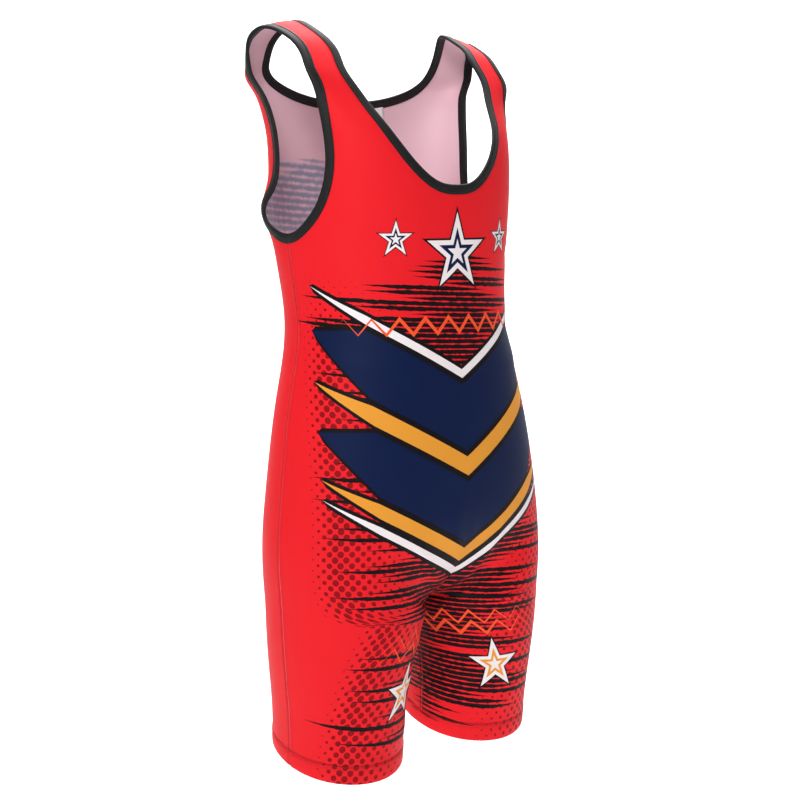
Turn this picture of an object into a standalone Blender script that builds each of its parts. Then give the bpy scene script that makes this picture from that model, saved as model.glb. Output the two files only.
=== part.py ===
"""Wrestling singlet, standing in the shape of a worn garment with nobody in it.

Every panel lies on one body surface: u runs 0 at the centre line (or inseam) to 1 at the side
seam, v is the height on the cloth, side is -1 in front and +1 behind. +Z up, front faces -Y,
origin midway between the two strap tops.
"""
import math

import bpy
import numpy as np
from mathutils import Vector
from mathutils.geometry import delaunay_2d_cdt

CLOTH = 0.0014          # wall of the knit panels
SEAM = 0.0002           # each panel stands this far off the seam line it shares
CLEAR = 0.0003          # air between the binding and the cloth it grips
BIND_WIDTH = 0.0105     # folded elastic, from fold to seam line
BIND_WALL = 0.0010
BIND_GRIP = 0.0015      # cut edge of the panel sits this far inside the fold
PANEL_ROWS = (BIND_GRIP, 0.0055, BIND_WIDTH)
PACE = 0.0005           # length of one step walked on the skin
HEM_HEIGHT = 0.0180
HEM_WALL = 0.0021
LABEL_HEIGHT = 0.0150

CHEST = -0.170          # above this the cloth arches over to the shoulder line
ARCH = -CHEST * math.pi / 2
TOP = CHEST + ARCH      # v at the shoulder seam
SLOPE = 0.35            # fall of the shoulder outwards
SLOPE_START = 0.135
CROTCH = -0.675
BLEND = 0.120           # height over which the legs join the body
HEM = -0.8525
HEM_TILT = 0.016        # hem hangs lower in front

# v, half width, front, back, middle y, squareness
BODY = [
    (-0.670, 0.1995, 0.110, 0.123, -0.060, 0.02),
    (-0.590, 0.1920, 0.112, 0.117, -0.058, 0.02),
    (-0.510, 0.1805, 0.114, 0.108, -0.053, 0.02),
    (-0.430, 0.1640, 0.113, 0.098, -0.046, 0.02),
    (-0.350, 0.1450, 0.113, 0.092, -0.038, 0.02),
    (-0.260, 0.1500, 0.118, 0.097, -0.029, 0.02),
    (-0.170, 0.1500, 0.117, 0.098, -0.0265, 0.04),
]
# share of the arch, half width, front, back, middle y, squareness
SHOULDER = [
    (0.190, 0.152, 0.101, 0.0920, -0.0255, 0.055),
    (0.270, 0.155, 0.085, 0.0880, -0.0250, 0.07),
    (0.355, 0.160, 0.069, 0.0825, -0.0245, 0.09),
    (0.450, 0.167, 0.054, 0.0745, -0.0235, 0.12),
    (0.555, 0.175, 0.043, 0.0620, -0.0210, 0.11),
    (0.690, 0.180, 0.030, 0.0430, -0.0140, 0.10),
    (0.780, 0.183, 0.018, 0.0290, -0.0090, 0.09),
    (1.000, 0.186, 0.000, 0.0000, 0.0000, 0.08),
]
# v, inner x, outer x, centre y, front, back
LEG = [
    (-0.900, 0.025, 0.179, -0.054, 0.071, 0.088),
    (-0.800, 0.028, 0.179, -0.058, 0.080, 0.090),
    (-0.740, 0.021, 0.184, -0.059, 0.089, 0.094),
    (-0.675, 0.000, 0.188, -0.059, 0.097, 0.098),
    (-0.555, 0.000, 0.188, -0.058, 0.104, 0.103),
]
# fold lines of the openings as u, v
NECK_FRONT = [(0, -.186), (.06, -.185), (.115, -.180), (.17, -.170), (.21, -.160), (.268, -.140),
              (.305, -.119), (.318, -.098), (.312, -.074), (.287, -.048), (.278, -.020),
              (.285, .007), (.298, .045), (.305, TOP)]
NECK_BACK = [(0, -.079), (.07, -.078), (.14, -.075), (.22, -.068), (.297, -.054), (.338, -.036),
             (.354, -.012), (.348, .015), (.332, .045), (.314, .077), (.305, TOP)]
ARM_FRONT = [(1, -.241), (.94, -.238), (.88, -.230), (.82, -.218), (.77, -.202), (.735, -.182),
             (.715, -.155), (.700, -.120), (.660, -.095), (.590, -.069), (.515, -.042),
             (.487, -.008), (.495, .027), (.53, .062), (.58, TOP)]
ARM_BACK = [(1, -.241), (.94, -.240), (.87, -.234), (.82, -.223), (.835, -.209), (.88, -.192),
            (.90, -.165), (.895, -.135), (.87, -.102), (.83, -.072), (.79, -.045), (.765, -.020),
            (.74, 0), (.72, .020), (.695, .040), (.65, .060), (.61, .078), (.58, TOP)]


def spline(xs, ys):
    """Natural cubic spline through a table's column."""
    xs, ys = np.array(xs, float), np.array(ys, float)
    n, h = len(xs), np.diff(xs)
    a, r = np.eye(n), np.zeros(n)
    for i in range(1, n - 1):
        a[i, i - 1:i + 2] = h[i - 1], 2 * (h[i - 1] + h[i]), h[i]
        r[i] = 3 * ((ys[i + 1] - ys[i]) / h[i] - (ys[i] - ys[i - 1]) / h[i - 1])
    c = np.linalg.solve(a, r)

    def value(x):
        x = np.clip(x, xs[0], xs[-1])
        i = np.clip(np.searchsorted(xs, x, side="right") - 1, 0, n - 2)
        t = x - xs[i]
        b = (ys[i + 1] - ys[i]) / h[i] - h[i] * (2 * c[i] + c[i + 1]) / 3
        return ys[i] + b * t + c[i] * t ** 2 + (c[i + 1] - c[i]) / (3 * h[i]) * t ** 3
    return value


TRUNK_ROWS = BODY + [(CHEST + r[0] * ARCH,) + r[1:] for r in SHOULDER]
WIDTH, FRONT, BACK, MIDDLE, SQUARE = [
    spline([r[0] for r in TRUNK_ROWS], [r[k] for r in TRUNK_ROWS]) for k in range(1, 6)]
LEG_INNER = spline([r[0] for r in LEG[:4]], [r[1] for r in LEG[:4]])
LEG_OUTER, LEG_Y, LEG_FRONT, LEG_BACK = [
    spline([r[0] for r in LEG], [r[k] for r in LEG]) for k in range(2, 6)]


def trunk(u, v, side):
    """Body of the garment, arching to the shoulder seam at v = TOP."""
    phi = u * math.pi / 2
    rise = np.sin(np.clip((v - CHEST) / ARCH, 0, 1) * math.pi / 2)
    square = SQUARE(v)
    x = WIDTH(v) * (np.sin(phi) + square * np.sin(3 * phi)) / (1 - square)
    depth = np.where(side < 0, FRONT(v), BACK(v))
    depth = depth * (np.cos(phi) - square * np.cos(3 * phi)) / (1 - square)
    # the lower back corner of the armhole stands off the ribs
    flare = np.where(side > 0, 0.013, 0) * np.exp(-((v + 0.213) / 0.03) ** 2)
    flare = flare * np.sin(math.pi * np.clip((u - 0.6) / 0.4, 0, 1)) ** 2
    x = x + flare * np.sin(phi)
    out = x - SLOPE_START
    top = -SLOPE * (np.sqrt(out ** 2 + 0.02 ** 2) + out) / 2
    z = np.where(v < CHEST, v, CHEST + (top - CHEST) * rise)
    return x, MIDDLE(v) + side * depth + flare * np.cos(phi), z


def skin(u, v, side):
    """Outer face of the cloth on the wearer's left half."""
    u, v, side = np.broadcast_arrays(*[np.asarray(q, float) for q in (u, v, side)])
    x, y, z = trunk(u, v, side)
    angle = u * math.pi
    inner_x, outer_x = LEG_INNER(v), LEG_OUTER(v)
    leg_x = (inner_x + outer_x) / 2 - (outer_x - inner_x) / 2 * np.cos(angle)
    leg_y = LEG_Y(v) + side * np.where(side < 0, LEG_FRONT(v), LEG_BACK(v)) * np.sin(angle)
    t = np.clip((v - CROTCH) / BLEND, 0, 1)
    inner = np.exp(-(u / 0.33) ** 2)
    mix = (1 - inner) * t * t * (3 - 2 * t) + inner * np.sqrt(1 - (1 - t) ** 2)
    tilt = np.clip((CROTCH - v) / (CROTCH - HEM), 0, None) ** 2 * HEM_TILT
    return np.stack([leg_x + (x - leg_x) * mix, leg_y + (y - leg_y) * mix,
                     z + side * tilt * np.sin(angle)], -1)


def slopes(u, v, side):
    """Change of the skin along u and along v, and its outward normal."""
    e = 2e-4
    v = np.minimum(v, TOP - e)
    along_u = (skin(u + e, v, side) - skin(u - e, v, side)) / (2 * e)
    along_v = (skin(u, v + e, side) - skin(u, v - e, side)) / (2 * e)
    normal = np.cross(along_u, along_v) * -np.asarray(side, float)[..., None]
    return along_u, along_v, normal / np.linalg.norm(normal, axis=-1, keepdims=True)


def fold_line(table, side, count, width_sign):
    """Equally spaced stations on a fold line and the 3-D direction into the cloth at each."""
    table = np.array(table, float)
    s = np.r_[0, np.cumsum(np.hypot(np.diff(table[:, 0]) * 0.25, np.diff(table[:, 1])))]
    fu, fv = spline(s, table[:, 0]), spline(s, table[:, 1])
    fine = np.linspace(0, s[-1], 400)
    run = skin(fu(fine), fv(fine), side)
    run = np.r_[0, np.cumsum(np.linalg.norm(np.diff(run, axis=0), axis=1))]
    at = np.interp(np.linspace(0, run[-1], count), run, fine)
    u, v = fu(at), fv(at)
    ahead = skin(fu(at + 1e-3), fv(at + 1e-3), side) - skin(fu(at - 1e-3), fv(at - 1e-3), side)
    along_u, along_v, normal = slopes(u, v, np.full(count, side))
    into = np.cross(normal, ahead)
    into *= -np.sign(into[0, 2])
    # the line crosses centre line, side seam and shoulder seam squarely
    into[0] = -along_v[0]
    into[-1] = width_sign * along_u[-1]
    return np.stack([u, v], -1), into / np.linalg.norm(into, axis=1, keepdims=True)


def walk(uv, into, side, far):
    """Places reached on the skin every half millimetre, walking from the fold into the cloth."""
    trail, q, way = [uv], uv.copy(), into.copy()
    for _ in range(int(round(far / PACE))):
        su, sv, _ = slopes(q[:, 0], q[:, 1], side)
        a, b, c = (su * su).sum(1), (su * sv).sum(1), (sv * sv).sum(1)
        p, r = (su * way).sum(1), (sv * way).sum(1)
        det = a * c - b * b
        move = np.stack([(c * p - b * r) / det, (a * r - b * p) / det], -1)
        way = su * move[:, :1] + sv * move[:, 1:]
        length = np.linalg.norm(way, axis=1, keepdims=True)
        way /= length
        q = q + move / length * PACE
        q[uv[:, 0] < 1e-6, 0], q[uv[:, 0] > 1 - 1e-6, 0] = 0, 1
        q[uv[:, 1] > TOP - 1e-6, 1] = TOP
        q[:, 1] = np.minimum(q[:, 1], TOP)
        trail.append(q)
    return np.stack(trail)


def opening(front, back, counts, width_sign):
    """Loop over the front and back tables: walked trail and side of each station.

    width_sign is +1 where the cloth lies at larger u (neck) and -1 at smaller u (armhole)."""
    uv, into, side = [], [], []
    for table, s, count in ((front, -1, counts[0]), (back, 1, counts[1])):
        p, d = fold_line(table, s, count, width_sign)
        if s > 0:
            # the shoulder station, and for an armhole the side seam one, are already there
            p, d = p[::-1][1:], d[::-1][1:]
            if width_sign < 0:
                p, d = p[:-1], d[:-1]
        uv.append(p), into.append(d), side.append(np.full(len(p), s))
    uv, into, side = np.concatenate(uv), np.concatenate(into), np.concatenate(side)
    return walk(uv, into, side, 0.027), side


def row_at(trail, distance):
    """Places at one distance from the fold; a little less than nothing lies beyond it."""
    if distance < 0:
        return trail[0] + (trail[0] - trail[1]) * -distance / PACE
    return trail[int(round(distance / PACE))]


def new_object(name, verts, faces, colour, roughness):
    mesh = bpy.data.meshes.new(name)
    mesh.from_pydata([tuple(v) for v in verts], [], [tuple(int(i) for i in f) for f in faces])
    mesh.validate()
    obj = bpy.data.objects.new(name, mesh)
    bpy.context.scene.collection.objects.link(obj)
    material = bpy.data.materials.new(name + "_cloth")
    material.use_nodes = True
    shader = material.node_tree.nodes["Principled BSDF"]
    shader.inputs["Base Color"].default_value = colour
    shader.inputs["Roughness"].default_value = roughness
    mesh.materials.append(material)
    return obj


def inside(points, polygon):
    """Which points lie inside the polygon, and how far each is from its outline."""
    a, b = polygon, np.roll(polygon, -1, 0)
    px, py = points[:, None, 0], points[:, None, 1]
    crosses = (a[:, 1] > py) != (b[:, 1] > py)
    rise = np.where(b[:, 1] == a[:, 1], 1, b[:, 1] - a[:, 1])
    crosses &= px < (b[:, 0] - a[:, 0]) * (py - a[:, 1]) / rise + a[:, 0]
    t = np.clip(((points[:, None] - a) * (b - a)).sum(-1) / ((b - a) ** 2).sum(-1), 0, 1)
    gap = np.linalg.norm(points[:, None] - a - t[..., None] * (b - a), axis=-1).min(1)
    return crosses.sum(1) % 2 == 1, gap


def run_down(start, stop, step):
    """Heights from start to stop, both ends included."""
    return np.linspace(start, stop, max(2, int(round(abs(stop - start) / step)) + 1))


def on_seam(uv):
    """Side seam, shoulder seam and inseam, crotch point included."""
    return (uv[:, 0] > 0.9999) | (uv[:, 1] > TOP - 1e-5) | ((uv[:, 0] < 1e-4) & (uv[:, 1] < CROTCH + 1e-5))


def cloth_normals(uv, side):
    """Outward normals, kept square to the seams so that neighbours meet face to face."""
    u, v = uv.T
    normal = slopes(np.clip(u, 0, 1), np.where(v < CROTCH, v, np.maximum(v, CROTCH + 0.0005)),
                    np.broadcast_to(side, len(u)))[2]
    normal[on_seam(uv), 1] = 0
    normal[(u < 1e-4) & (v > CROTCH - 1e-5), 0] = 0
    normal[(u < 1e-4) & (np.abs(v - CROTCH) < 1e-5)] = 0, 0, -1
    return normal / np.linalg.norm(normal, axis=1, keepdims=True)


def panel(name, side, neck, arm, colour):
    """Front or back, cut in one piece with its half of both legs."""
    scale = np.array([0.26, 1.0])
    grid = 0.0225
    crotch_rows = CROTCH + BLEND * np.linspace(0, 1, 9) ** 2
    low = HEM + HEM_HEIGHT + CLEAR
    # rows of points under the binding keep cloth and binding on the same facets
    rows = [[row_at(trail, d) for d in PANEL_ROWS] for trail in (neck, arm)]
    (neck_cut, neck_mid, neck_past), (arm_cut, arm_mid, arm_past) = rows
    shoulder = np.r_[neck_mid[-1, 0], np.linspace(neck_past[-1, 0], arm_past[-1, 0], 5),
                     arm_mid[-1, 0]]
    centre = np.r_[crotch_rows, run_down(CROTCH + BLEND, neck_past[0, 1], grid)[1:],
                   neck_mid[0, 1]]
    side_v = np.r_[arm_mid[0, 1], run_down(arm_past[0, 1], low, grid)[:-1]]
    hem_u = np.linspace(1, 0, 19)
    inseam = run_down(low, CROTCH, 0.015)[1:-1]
    outline = np.concatenate([
        np.stack([0 * centre, centre], -1), neck_cut, np.stack([shoulder, 0 * shoulder + TOP], -1),
        arm_cut[::-1], np.stack([1 + 0 * side_v, side_v], -1),
        np.stack([hem_u, 0 * hem_u + low], -1), np.stack([0 * inseam, inseam], -1)])
    held, edges = [outline], []
    count = len(outline)
    for group in rows:
        n = len(group[0])
        held += group
        for r in range(3):
            for i in range(n):
                here = count + r * n + i
                if i < n - 1:
                    edges.append((here, here + 1))
                if r < 2:
                    edges.append((here, here + n))
                if r < 2 and i < n - 1:
                    edges.append((here, here + n + 1))
        count += 3 * n
    heights = np.concatenate([run_down(low, CROTCH, 0.015)[1:], crotch_rows[1:],
                              run_down(CROTCH + BLEND, TOP, grid)[1:]])
    across = 13
    field = [((i + 0.5 * (k % 2)) / across, v) for k, v in enumerate(heights) for i in range(across)]
    field = np.array(field)
    ok, gap = inside(field * scale, outline * scale)
    field = field[ok & (gap > 0.007)]
    past = np.concatenate([neck_past, arm_past])
    strip = np.concatenate([neck_mid, arm_mid])
    away = np.linalg.norm((field[:, None] - past[None]) * scale, axis=-1).min(1)
    near = np.linalg.norm((field[:, None] - strip[None]) * scale, axis=-1).min(1)
    field = field[(away > 0.009) & (near > away)]
    points = np.concatenate(held + [field])
    made = delaunay_2d_cdt([Vector(p) for p in points * scale], edges,
                           [list(range(len(outline)))], 1, 1e-6)
    uv = np.array([tuple(p) for p in made[0]]) / scale
    outer = skin(uv[:, 0], uv[:, 1], side)
    centre_line = (uv[:, 0] < 1e-4) & (uv[:, 1] > CROTCH - 1e-5)
    outer[centre_line, 0] = 0
    outer[on_seam(uv), 1] += side * SEAM
    inner = outer - cloth_normals(uv, side) * CLOTH
    faces = [list(f) if side < 0 else list(f[::-1]) for f in made[2]]
    return shell(name, outer, inner, faces, centre_line, colour)


def shell(name, outer, inner, faces, centre_line, colour):
    """Outer and inner faces of a half panel, rimmed and mirrored across x = 0."""
    n = len(outer)
    once = {}
    for f in faces:
        for a, b in zip(f, f[1:] + f[:1]):
            if (b, a) in once:
                del once[b, a]
            else:
                once[a, b] = True
    rim = [[b, a, a + n, b + n] for a, b in once if not (centre_line[a] and centre_line[b])]
    verts = np.concatenate([outer, inner])
    whole = faces + [[i + n for i in f[::-1]] for f in faces] + rim
    twin = np.arange(2 * n) + 2 * n
    on_line = np.r_[centre_line, centre_line]
    twin[on_line] = np.flatnonzero(on_line)
    whole += [[int(twin[i]) for i in f[::-1]] for f in whole]
    verts = np.concatenate([verts, verts * [-1, 1, 1]])
    used = sorted({i for f in whole for i in f})
    slot = {old: new for new, old in enumerate(used)}
    return new_object(name, verts[used], [[slot[i] for i in f] for f in whole], colour, 0.45)


def band(name, trail, side, profile, colour, mirror=False, closed_by_mirror=False):
    """Cloth strip swept along stations; profile rows are distance into the cloth, height off it."""
    rank = np.abs(np.arange(len(side)) - np.flatnonzero(np.asarray(side) < 0)[-1])
    rings = []
    for distance, height in profile:
        q = row_at(trail, distance)
        rings.append(skin(q[:, 0], q[:, 1], side) + cloth_normals(q, side) * height)
    rings = np.stack(rings, 1)
    if closed_by_mirror:
        rings[0, :, 0] = rings[-1, :, 0] = 0
        back = rings[1:-1][::-1] * [-1, 1, 1]
        rings, rank = np.concatenate([rings, back]), np.concatenate([rank, rank[1:-1][::-1]])
    if mirror:
        rings = rings * [-1, 1, 1]
    count, width = rings.shape[:2]
    faces = []
    for i in range(count):
        j = (i + 1) % count
        for k in range(width):
            m = (k + 1) % width
            a, b, c, d = i * width + k, j * width + k, j * width + m, i * width + m
            # same diagonal as the panel: seam end near the cut to shoulder end further in
            same = (profile[m][0] > profile[k][0]) == (rank[j] < rank[i] and j > 0)
            pair = [[a, b, c], [a, c, d]] if same else [[a, b, d], [b, c, d]]
            faces += [f[::-1] for f in pair] if mirror else pair
    return new_object(name, rings.reshape(-1, 3), faces, colour, 0.6)


def binding_profile():
    """U of folded elastic gripping the cut edge, from the outside leg round to the inside."""
    out, deep = CLEAR + BIND_WALL, -CLOTH - CLEAR - BIND_WALL
    half = -CLOTH / 2
    return [(BIND_WIDTH, out - 0.0002), (0.0055, out), (0.0010, out - 0.0001), (-0.0006, half + 0.0009),
            (-0.0006, half - 0.0009), (0.0010, deep + 0.0001), (0.0055, deep),
            (BIND_WIDTH, deep + 0.0002), (BIND_WIDTH, -CLOTH - CLEAR), (0.0055, -CLOTH - CLEAR),
            (0.0010, -CLOTH - CLEAR), (0.0010, CLEAR), (0.0055, CLEAR), (BIND_WIDTH, CLEAR)]


def hem(name, mirror, colour):
    """Turned-up leg opening, cloth doubled over and rounded at the fold."""
    u = np.concatenate([np.linspace(0, 1, 19), np.linspace(1, 0, 19)[1:-1]])
    side = np.concatenate([np.full(19, -1), np.full(17, 1)])
    drop = np.arange(0, HEM_HEIGHT + PACE, PACE)
    trail = np.stack([np.stack([u, 0 * u + HEM + HEM_HEIGHT - d], -1) for d in drop])
    deep = HEM_HEIGHT
    profile = [(0, 0), (deep * 0.5, 0.0004), (deep - 0.0012, 0.0003), (deep, -HEM_WALL / 2),
               (deep - 0.0012, -HEM_WALL), (deep * 0.5, -HEM_WALL), (0, -HEM_WALL)]
    return band(name, trail, side, profile[::-1], colour, mirror)


def label(trail):
    """Blank woven label hanging inside the back neck, under the binding."""
    x = skin(trail[0, :, 0], trail[0, :, 1], 1)[:, 0]
    keep = np.flatnonzero((x > 0.024) & (x < 0.064))
    rows = []
    for height in (-CLOTH - 0.0008, -CLOTH - 0.0018):
        for distance in (BIND_WIDTH + 0.0005, BIND_WIDTH + LABEL_HEIGHT / 2, BIND_WIDTH + LABEL_HEIGHT):
            q = row_at(trail, distance)[keep]
            rows.append(skin(q[:, 0], q[:, 1], 1) + cloth_normals(q, 1) * height)
    ring = [0, 1, 2, 5, 4, 3]
    verts = np.concatenate([rows[k] for k in ring])
    n, faces = len(keep), []
    for k in range(6):
        m = (k + 1) % 6
        for i in range(n - 1):
            faces.append([k * n + i, k * n + i + 1, m * n + i + 1, m * n + i])
    for i, flip in ((0, False), (n - 1, True)):
        for a, b, c, d in ((0, 1, 4, 5), (1, 2, 3, 4)):
            cap = [a * n + i, b * n + i, c * n + i, d * n + i]
            faces.append(cap[::-1] if flip else cap)
    return new_object("label", verts, faces, (0.9, 0.9, 0.88, 1), 0.7)


for old in list(bpy.data.objects):
    bpy.data.objects.remove(old)

RED = (0.78, 0.03, 0.03, 1)
BLACK = (0.02, 0.02, 0.02, 1)

neck, neck_side = opening(NECK_FRONT, NECK_BACK, (25, 17), 1)
arm, arm_side = opening(ARM_FRONT, ARM_BACK, (29, 31), -1)
neck_ridge, arm_ridge = [np.flatnonzero(s < 0)[-1] for s in (neck_side, arm_side)]
# each panel takes its stations from the centre line or side seam up to the shoulder
neck_back = neck[:, :neck_ridge - 1:-1]
arm_back = np.concatenate([arm[:, :1], arm[:, :arm_ridge - 1:-1]], 1)

panel("front", -1, neck[:, :neck_ridge + 1], arm[:, :arm_ridge + 1], RED)
panel("back", 1, neck_back, arm_back, RED)
band("neck_binding", neck, neck_side, binding_profile(), BLACK, closed_by_mirror=True)
band("armhole_binding_left", arm, arm_side, binding_profile()[::-1], BLACK)
band("armhole_binding_right", arm, arm_side, binding_profile()[::-1], BLACK, mirror=True)
hem("leg_hem_left", False, RED)
hem("leg_hem_right", True, RED)
label(neck_back)
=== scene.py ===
"""Wrestling singlet in its worn shape, with nobody in it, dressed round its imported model."""

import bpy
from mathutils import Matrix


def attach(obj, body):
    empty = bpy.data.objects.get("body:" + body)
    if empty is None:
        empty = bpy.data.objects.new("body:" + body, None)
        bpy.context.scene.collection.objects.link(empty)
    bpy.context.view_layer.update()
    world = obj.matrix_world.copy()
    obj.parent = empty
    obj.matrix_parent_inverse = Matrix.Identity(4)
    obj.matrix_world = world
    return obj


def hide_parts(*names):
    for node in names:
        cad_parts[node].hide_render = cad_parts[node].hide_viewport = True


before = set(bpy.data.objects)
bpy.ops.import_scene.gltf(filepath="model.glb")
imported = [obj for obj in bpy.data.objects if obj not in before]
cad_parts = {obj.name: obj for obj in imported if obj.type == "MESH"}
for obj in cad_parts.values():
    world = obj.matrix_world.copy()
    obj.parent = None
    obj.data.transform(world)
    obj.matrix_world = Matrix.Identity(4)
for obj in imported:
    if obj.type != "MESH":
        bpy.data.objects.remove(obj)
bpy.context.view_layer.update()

import math

import bpy
import numpy as np
from mathutils import Vector
from mathutils.geometry import delaunay_2d_cdt

# The form of the worn garment: one surface that every panel, binding, hem and stitch lies on.
# u runs from 0 at the centre line (the inseam on a leg) to 1 at the side seam, v is the height on
# the cloth, and side is -1 on the front panel and +1 on the back panel. Metres throughout.
CHEST = -0.170          # above this the cloth arches over to the shoulder line
ARCH = -CHEST * math.pi / 2
TOP = CHEST + ARCH      # v at the shoulder seam
SHOULDER_SLOPE = 0.35
SLOPE_START = 0.135
SLOPE_ROUNDING = 0.02
CROTCH = -0.675
BLEND = 0.120           # height over which the legs join the body
INSEAM_SHARE = 0.33     # share of u beside the centre line where they join in a round arch
HEM = -0.8525
HEM_DEPTH = 0.0180      # height of the turned-up hem
HEM_TILT = 0.016        # hem hangs lower in front
CORNER_STAND_OFF = 0.013    # the lower back corner of the armhole stands off the ribs
CORNER_HEIGHT = -0.213
CORNER_SPREAD = 0.03
CORNER_FROM = 0.6       # u where it begins
U_NEAR = 1e-4           # closer than these to a seam or a centre line counts as on it
V_NEAR = 1e-5

# v, half width, front, back, middle y, squareness
BODY = [
    (-0.670, 0.1995, 0.110, 0.123, -0.060, 0.02),
    (-0.590, 0.1920, 0.112, 0.117, -0.058, 0.02),
    (-0.510, 0.1805, 0.114, 0.108, -0.053, 0.02),
    (-0.430, 0.1640, 0.113, 0.098, -0.046, 0.02),
    (-0.350, 0.1450, 0.113, 0.092, -0.038, 0.02),
    (-0.260, 0.1500, 0.118, 0.097, -0.029, 0.02),
    (-0.170, 0.1500, 0.117, 0.098, -0.0265, 0.04),
]
# share of the arch, half width, front, back, middle y, squareness
SHOULDER = [
    (0.190, 0.152, 0.101, 0.0920, -0.0255, 0.055),
    (0.270, 0.155, 0.085, 0.0880, -0.0250, 0.07),
    (0.355, 0.160, 0.069, 0.0825, -0.0245, 0.09),
    (0.450, 0.167, 0.054, 0.0745, -0.0235, 0.12),
    (0.555, 0.175, 0.043, 0.0620, -0.0210, 0.11),
    (0.690, 0.180, 0.030, 0.0430, -0.0140, 0.10),
    (0.780, 0.183, 0.018, 0.0290, -0.0090, 0.09),
    (1.000, 0.186, 0.000, 0.0000, 0.0000, 0.08),
]
# v, inner x, outer x, centre y, front, back
LEG = [
    (-0.900, 0.025, 0.179, -0.054, 0.071, 0.088),
    (-0.800, 0.028, 0.179, -0.058, 0.080, 0.090),
    (-0.740, 0.021, 0.184, -0.059, 0.089, 0.094),
    (-0.675, 0.000, 0.188, -0.059, 0.097, 0.098),
    (-0.555, 0.000, 0.188, -0.058, 0.104, 0.103),
]


def spline(xs, ys):
    """Natural cubic spline through a table's column."""
    xs, ys = np.array(xs, float), np.array(ys, float)
    n, h = len(xs), np.diff(xs)
    a, r = np.eye(n), np.zeros(n)
    for i in range(1, n - 1):
        a[i, i - 1:i + 2] = h[i - 1], 2 * (h[i - 1] + h[i]), h[i]
        r[i] = 3 * ((ys[i + 1] - ys[i]) / h[i] - (ys[i] - ys[i - 1]) / h[i - 1])
    c = np.linalg.solve(a, r)

    def value(x):
        x = np.clip(x, xs[0], xs[-1])
        i = np.clip(np.searchsorted(xs, x, side="right") - 1, 0, n - 2)
        t = x - xs[i]
        b = (ys[i + 1] - ys[i]) / h[i] - h[i] * (2 * c[i] + c[i + 1]) / 3
        return ys[i] + b * t + c[i] * t ** 2 + (c[i + 1] - c[i]) / (3 * h[i]) * t ** 3
    return value


TRUNK_ROWS = BODY + [(CHEST + r[0] * ARCH,) + r[1:] for r in SHOULDER]
WIDTH, FRONT, BACK, MIDDLE, SQUARE = [
    spline([r[0] for r in TRUNK_ROWS], [r[k] for r in TRUNK_ROWS]) for k in range(1, 6)]
LEG_INNER = spline([r[0] for r in LEG[:4]], [r[1] for r in LEG[:4]])
LEG_OUTER, LEG_Y, LEG_FRONT, LEG_BACK = [
    spline([r[0] for r in LEG], [r[k] for r in LEG]) for k in range(2, 6)]


def trunk(u, v, side):
    """Body of the garment, arching to the shoulder seam at v = TOP."""
    phi = u * math.pi / 2
    rise = np.sin(np.clip((v - CHEST) / ARCH, 0, 1) * math.pi / 2)
    square = SQUARE(v)
    x = WIDTH(v) * (np.sin(phi) + square * np.sin(3 * phi)) / (1 - square)
    depth = np.where(side < 0, FRONT(v), BACK(v))
    depth = depth * (np.cos(phi) - square * np.cos(3 * phi)) / (1 - square)
    flare = np.where(side > 0, CORNER_STAND_OFF, 0)
    flare = flare * np.exp(-((v - CORNER_HEIGHT) / CORNER_SPREAD) ** 2)
    flare = flare * np.sin(math.pi * np.clip((u - CORNER_FROM) / (1 - CORNER_FROM), 0, 1)) ** 2
    x = x + flare * np.sin(phi)
    out = x - SLOPE_START
    top = -SHOULDER_SLOPE * (np.sqrt(out ** 2 + SLOPE_ROUNDING ** 2) + out) / 2
    z = np.where(v < CHEST, v, CHEST + (top - CHEST) * rise)
    return x, MIDDLE(v) + side * depth + flare * np.cos(phi), z


def skin(u, v, side):
    """Outer face of the cloth on the wearer's left half."""
    u, v, side = np.broadcast_arrays(*[np.asarray(q, float) for q in (u, v, side)])
    x, y, z = trunk(u, v, side)
    angle = u * math.pi
    inner_x, outer_x = LEG_INNER(v), LEG_OUTER(v)
    leg_x = (inner_x + outer_x) / 2 - (outer_x - inner_x) / 2 * np.cos(angle)
    leg_y = LEG_Y(v) + side * np.where(side < 0, LEG_FRONT(v), LEG_BACK(v)) * np.sin(angle)
    t = np.clip((v - CROTCH) / BLEND, 0, 1)
    inner = np.exp(-(u / INSEAM_SHARE) ** 2)
    mix = (1 - inner) * t * t * (3 - 2 * t) + inner * np.sqrt(1 - (1 - t) ** 2)
    tilt = np.clip((CROTCH - v) / (CROTCH - HEM), 0, None) ** 2 * HEM_TILT
    return np.stack([leg_x + (x - leg_x) * mix, leg_y + (y - leg_y) * mix,
                     z + side * tilt * np.sin(angle)], -1)


def slopes(u, v, side):
    """Change of the skin along u and along v, and its outward normal."""
    e = 2e-4
    v = np.minimum(v, TOP - e)
    along_u = (skin(u + e, v, side) - skin(u - e, v, side)) / (2 * e)
    along_v = (skin(u, v + e, side) - skin(u, v - e, side)) / (2 * e)
    normal = np.cross(along_u, along_v) * -np.asarray(side, float)[..., None]
    return along_u, along_v, normal / np.linalg.norm(normal, axis=-1, keepdims=True)


def cloth_normals(u, v, side):
    """Outward normals, kept square to the seams so that neighbours meet face to face."""
    side = np.broadcast_to(np.asarray(side, float), u.shape)
    # taken just off the crotch, where the skin turns too sharply to have a slope
    off_crotch = np.where(v < CROTCH, v, np.maximum(v, CROTCH + 0.0005))
    normal = slopes(np.clip(u, 0, 1), off_crotch, side)[2]
    inner = u < U_NEAR
    seam = (u > 1 - U_NEAR) | (v > TOP - V_NEAR) | (inner & (v < CROTCH + V_NEAR))
    normal[seam, 1] = 0
    normal[inner & (v > CROTCH - V_NEAR), 0] = 0
    normal[inner & (np.abs(v - CROTCH) < V_NEAR)] = 0, 0, -1
    return normal / np.linalg.norm(normal, axis=-1, keepdims=True)


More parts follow.
